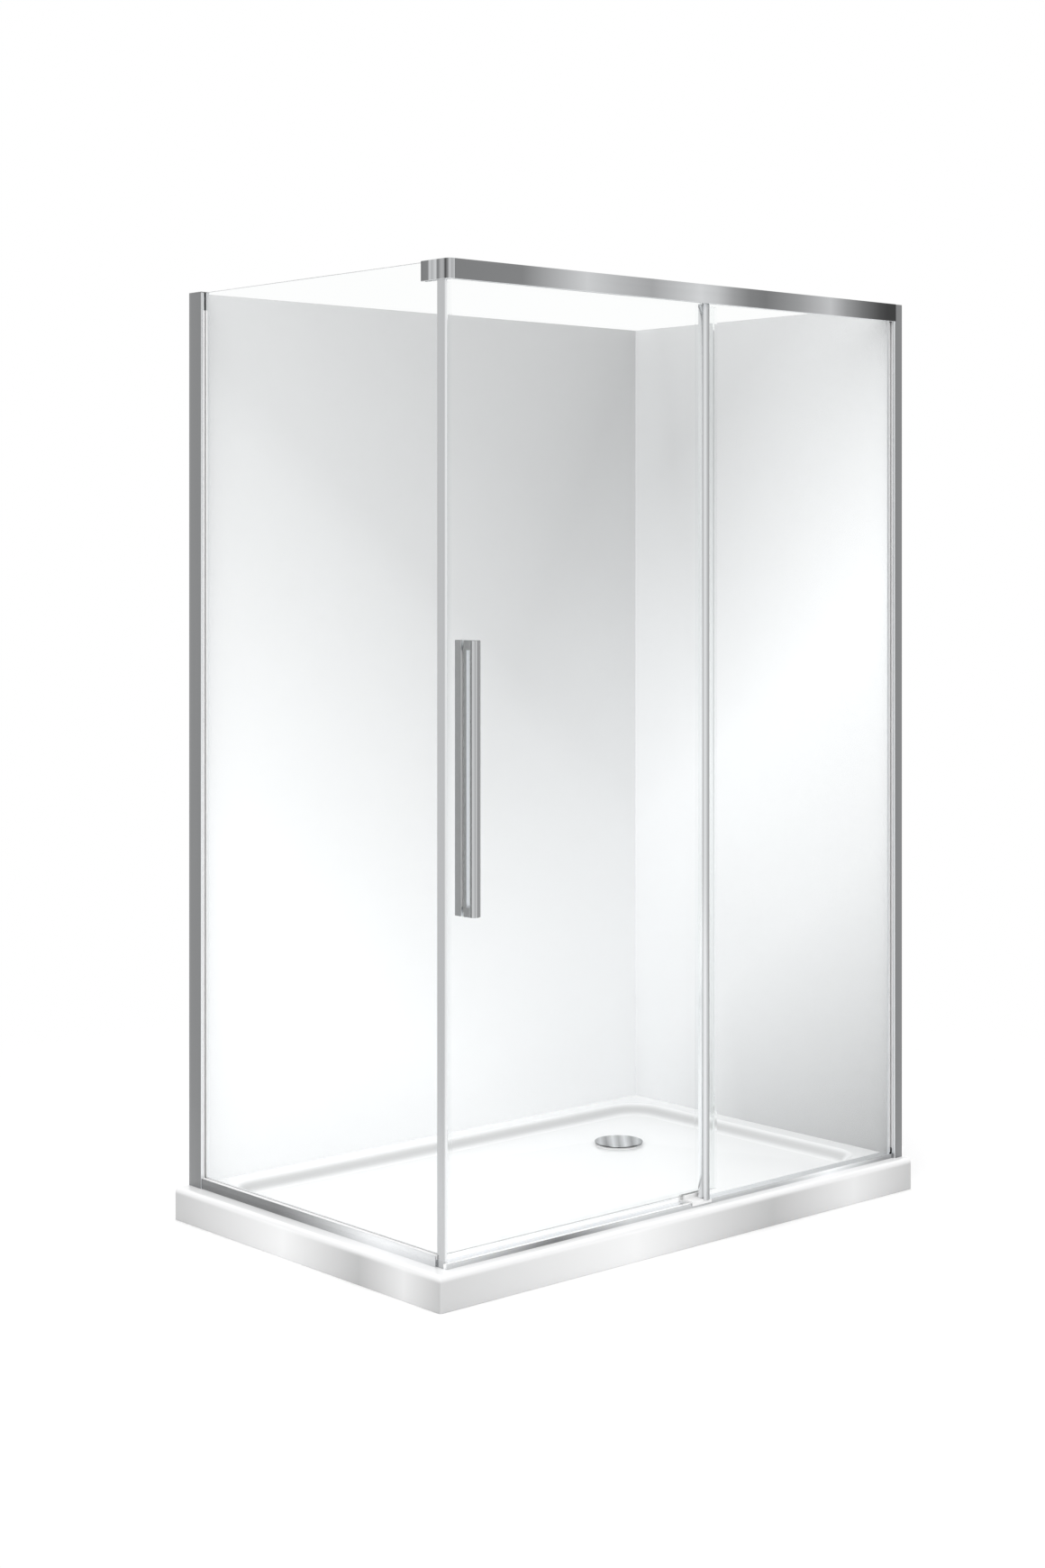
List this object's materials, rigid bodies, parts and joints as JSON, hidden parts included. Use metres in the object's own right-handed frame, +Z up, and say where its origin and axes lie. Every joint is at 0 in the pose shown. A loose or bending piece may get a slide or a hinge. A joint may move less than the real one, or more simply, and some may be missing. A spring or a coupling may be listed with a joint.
{
  "type": "shower enclosure with sliding door",
  "caption": "Corner shower enclosure: low rectangular tray, wall panels, glass return panel, fixed glass pane and a top-hung sliding glass door with a bar handle.",
  "frame": {"origin": "middle of the tray's underside, at floor level", "axes": "+Z up; +X along the door side, from the free corner to the side wall; +Y from the door side to the back wall"},
  "size_m": [1.4, 0.9, 2.02],
  "materials": {
    "white_acrylic": "gloss",
    "wall_liner": "gloss",
    "bonded_core": "matte",
    "polished_aluminium": "polished",
    "plain_aluminium": "satin",
    "chrome": "polished",
    "steel": "satin",
    "clear_glass": "gloss",
    "clear_seal": "satin",
    "grey_gasket": "matte",
    "setting_block": "matte",
    "grey_plastic": "satin",
    "waste_plastic": "satin",
    "nylon": "satin"
  },
  "bodies": {
    "frame": {"tray_shell": "white_acrylic", "side_wall_liner": "wall_liner", "back_wall_liner": "wall_liner", "tray_core": "bonded_core", "return_cover_profile": "polished_aluminium", "jamb_cover_profile": "polished_aluminium", "return_bottom_channel": "polished_aluminium", "return_edge_profile": "polished_aluminium", "head_rail": "polished_aluminium", "rail_infill_strip": "polished_aluminium", "fixed_edge_profile": "polished_aluminium", "sill_profile": "polished_aluminium", "sill_infill_strip": "polished_aluminium", "return_wall_channel": "plain_aluminium", "jamb_wall_channel": "plain_aluminium", "rail_wall_spigot": "plain_aluminium", "corner_bracket": "chrome", "bracket_grub_screw": "steel", "return_glass": "clear_glass", "fixed_glass": "clear_glass", "strike_seal": "clear_seal", "interpane_seal": "clear_seal", "return_wall_gaskets": "grey_gasket", "jamb_wall_gaskets": "grey_gasket", "return_bottom_gaskets": "grey_gasket", "rail_glazing_gaskets": "grey_gasket", "bracket_pressure_pad": "grey_gasket", "stop_buffers": "grey_gasket", "return_setting_blocks": "setting_block", "fixed_setting_blocks": "setting_block", "floor_guide": "grey_plastic", "travel_stops": "grey_plastic", "profile_end_caps": "grey_plastic", "waste_body": "waste_plastic", "waste_back_nut": "waste_plastic"},
    "door": {"door_glass": "clear_glass", "door_hangers": "chrome", "hanger_liners": "grey_gasket", "hanger_pressure_pads": "grey_gasket", "hanger_grub_screws": "steel", "roller_axles": "steel", "door_leading_seal": "clear_seal", "door_trailing_seal": "clear_seal", "door_bottom_seal": "clear_seal", "outer_handle": "chrome", "inner_handle": "chrome", "handle_studs": "steel", "handle_gaskets": "grey_gasket"},
    "wheel_left": {"roller_wheel_left": "nylon"},
    "wheel_right": {"roller_wheel_right": "nylon"},
    "waste_lid": {"waste_cover": "chrome", "waste_grate": "waste_plastic"}
  },
  "joints": [
    {"name": "door_slide", "type": "slide", "parent": "frame", "child": "door", "axis": [1, 0, 0], "range_m": [0, 0.56]},
    {"name": "wheel_left_spin", "type": "hinge", "parent": "door", "child": "wheel_left", "pos_m": [-0.559, -0.4009, 2.0023], "axis": [0, 1, 0], "range_deg": [-5, 3215]},
    {"name": "wheel_right_spin", "type": "hinge", "parent": "door", "child": "wheel_right", "pos_m": [0.037, -0.4009, 2.0023], "axis": [0, 1, 0], "range_deg": [-5, 3215]},
    {"name": "waste_lid_lift", "type": "slide", "parent": "frame", "child": "waste_lid", "axis": [0, 0, 1], "range_m": [0, 0.06]}
  ],
  "couplings": [
    {"joint": "wheel_left_spin", "follows": "door_slide", "rad_per_m": 100},
    {"joint": "wheel_right_spin", "follows": "door_slide", "rad_per_m": 100}
  ]
}
